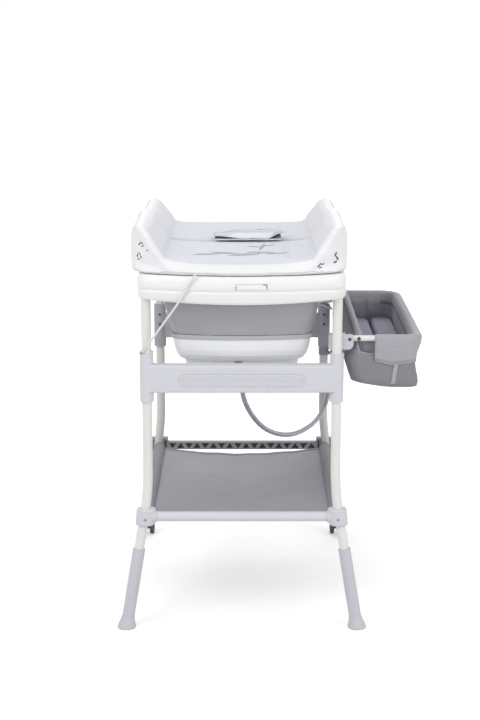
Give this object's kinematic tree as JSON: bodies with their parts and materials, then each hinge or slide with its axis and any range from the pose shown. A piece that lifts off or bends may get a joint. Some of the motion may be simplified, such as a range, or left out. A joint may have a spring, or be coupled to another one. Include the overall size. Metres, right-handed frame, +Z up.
{
  "type": "baby bath and changing table",
  "caption": "Baby bath and changing table: tube frame on feet and casters, folding tub under a lift-off changing mat, drain hose, cloth shelf and side basket.",
  "frame": {"origin": "middle of the whole outline seen from above, basket included, at floor level", "axes": "+Z up; +Y along the table, from the end with plain feet to the end with casters; +X across it, towards the basket"},
  "size_m": [0.7334, 0.7583, 0.985],
  "materials": {
    "white_plastic": "satin moulded plastic",
    "white_tube": "white powder coat",
    "pale_grey_plastic": "pale lavender-grey moulded plastic",
    "mid_grey_plastic": "mid grey moulded plastic",
    "mid_grey_tube": "grey powder coat",
    "rib_grey_plastic": "dark grey ribbed moulding",
    "silicone": "soft grey folding silicone",
    "pale_silicone": "pale grey band",
    "foot_rubber": "pale grey rubber",
    "wheel_rubber": "grey caster wheel",
    "black_plastic": "black",
    "steel": "plain steel",
    "hose": "translucent grey hose",
    "shelf_cloth": "grey woven cloth",
    "bag_cloth": "grey woven cloth and mesh",
    "insert_cloth": "grey-blue quilted lining",
    "mat_cover": "soft wipe-clean cover over foam, pale grey and white",
    "belt_cloth": "pale grey padded belt",
    "elastic": "white round elastic"
  },
  "bodies": {
    "frame": {"support_ring": "white_plastic", "tub_rim": "white_plastic", "tub_wall": "silicone", "drain_hose": "hose", "hose_clip": "mid_grey_plastic", "hose_end_plug": "mid_grey_plastic", "front_left_leg": "white_tube", "front_right_leg": "white_tube", "rear_left_leg": "white_tube", "rear_right_leg": "white_tube", "front_panel": "pale_grey_plastic", "rear_panel": "mid_grey_plastic", "front_cross_tube": "pale_grey_plastic", "front_left_collar": "pale_grey_plastic", "front_right_collar": "pale_grey_plastic", "rear_cross_bar": "rib_grey_plastic", "left_side_tube": "mid_grey_tube", "right_side_tube": "mid_grey_tube", "shelf_fabric": "shelf_cloth", "left_caster_socket": "mid_grey_plastic", "right_caster_socket": "mid_grey_plastic", "front_mat_strap": "elastic", "rear_mat_strap": "elastic", "front_basket_bracket": "pale_grey_plastic", "rear_basket_bracket": "pale_grey_plastic", "front_basket_pin": "black_plastic", "rear_basket_pin": "black_plastic", "front_left_collar_screw": "steel", "front_right_collar_screw": "steel", "rear_panel_left_lower_screw": "black_plastic", "rear_panel_left_upper_screw": "black_plastic", "rear_panel_right_lower_screw": "black_plastic", "rear_panel_right_upper_screw": "black_plastic"},
    "tub_bottom": {"tub_band": "pale_silicone", "tub_shell": "white_plastic", "drain_spout": "pale_grey_plastic"},
    "drain_plug": {"drain_plug": "mid_grey_plastic"},
    "latch": {"tub_latch": "white_plastic"},
    "mat": {"mat_near_half": "mat_cover", "mat_far_half": "mat_cover", "safety_belt": "belt_cloth"},
    "basket": {"basket_tube": "white_tube", "basket_inner_rail": "white_tube", "basket_bag": "bag_cloth", "basket_left_insert": "insert_cloth", "basket_right_insert": "insert_cloth"},
    "left_foot": {"left_foot_sleeve": "pale_grey_plastic", "left_foot": "foot_rubber"},
    "right_foot": {"right_foot_sleeve": "pale_grey_plastic", "right_foot": "foot_rubber"},
    "left_caster": {"left_caster_fork": "black_plastic", "left_axle": "steel"},
    "left_inner_wheel": {"left_inner_wheel": "wheel_rubber"},
    "left_outer_wheel": {"left_outer_wheel": "wheel_rubber"},
    "right_caster": {"right_caster_fork": "black_plastic", "right_axle": "steel"},
    "right_inner_wheel": {"right_inner_wheel": "wheel_rubber"},
    "right_outer_wheel": {"right_outer_wheel": "wheel_rubber"}
  },
  "joints": [
    {"name": "tub_fold", "type": "slide", "parent": "frame", "child": "tub_bottom", "axis": [0, 0, 1], "range_m": [0, 0.09], "deforming": ["tub_wall"]},
    {"name": "drain_plug_lift", "type": "slide", "parent": "tub_bottom", "child": "drain_plug", "axis": [0, 0, 1], "range_m": [0, 0.05]},
    {"name": "latch_press", "type": "slide", "parent": "frame", "child": "latch", "axis": [0, 1, 0], "range_m": [0, 0.003], "stiffness_N_per_m": 800},
    {"name": "mat_lift_off", "type": "slide", "parent": "frame", "child": "mat", "axis": [0, 0, 1], "range_m": [0, 0.25]},
    {"name": "basket_swing", "type": "hinge", "parent": "frame", "child": "basket", "pos_m": [0.19402, 0, 0.713], "axis": [0, -1, 0], "range_deg": [0, 80]},
    {"name": "left_foot_slide", "type": "slide", "parent": "frame", "child": "left_foot", "axis": [0.162, 0.0982, 0.9819], "range_m": [-0.06, 0.03]},
    {"name": "right_foot_slide", "type": "slide", "parent": "frame", "child": "right_foot", "axis": [-0.162, 0.0982, 0.9819], "range_m": [-0.06, 0.03]},
    {"name": "left_caster_swivel", "type": "hinge", "parent": "frame", "child": "left_caster", "pos_m": [-0.33422, 0.3413, 0.05], "axis": [0, 0, 1], "continuous": true},
    {"name": "left_inner_wheel_spin", "type": "hinge", "parent": "left_caster", "child": "left_inner_wheel", "pos_m": [-0.33422, 0.3553, 0.025], "axis": [1, 0, 0], "continuous": true},
    {"name": "left_outer_wheel_spin", "type": "hinge", "parent": "left_caster", "child": "left_outer_wheel", "pos_m": [-0.33422, 0.3553, 0.025], "axis": [1, 0, 0], "continuous": true},
    {"name": "right_caster_swivel", "type": "hinge", "parent": "frame", "child": "right_caster", "pos_m": [0.20886, 0.3413, 0.05], "axis": [0, 0, 1], "continuous": true},
    {"name": "right_inner_wheel_spin", "type": "hinge", "parent": "right_caster", "child": "right_inner_wheel", "pos_m": [0.20886, 0.3553, 0.025], "axis": [1, 0, 0], "continuous": true},
    {"name": "right_outer_wheel_spin", "type": "hinge", "parent": "right_caster", "child": "right_outer_wheel", "pos_m": [0.20886, 0.3553, 0.025], "axis": [1, 0, 0], "continuous": true}
  ]
}
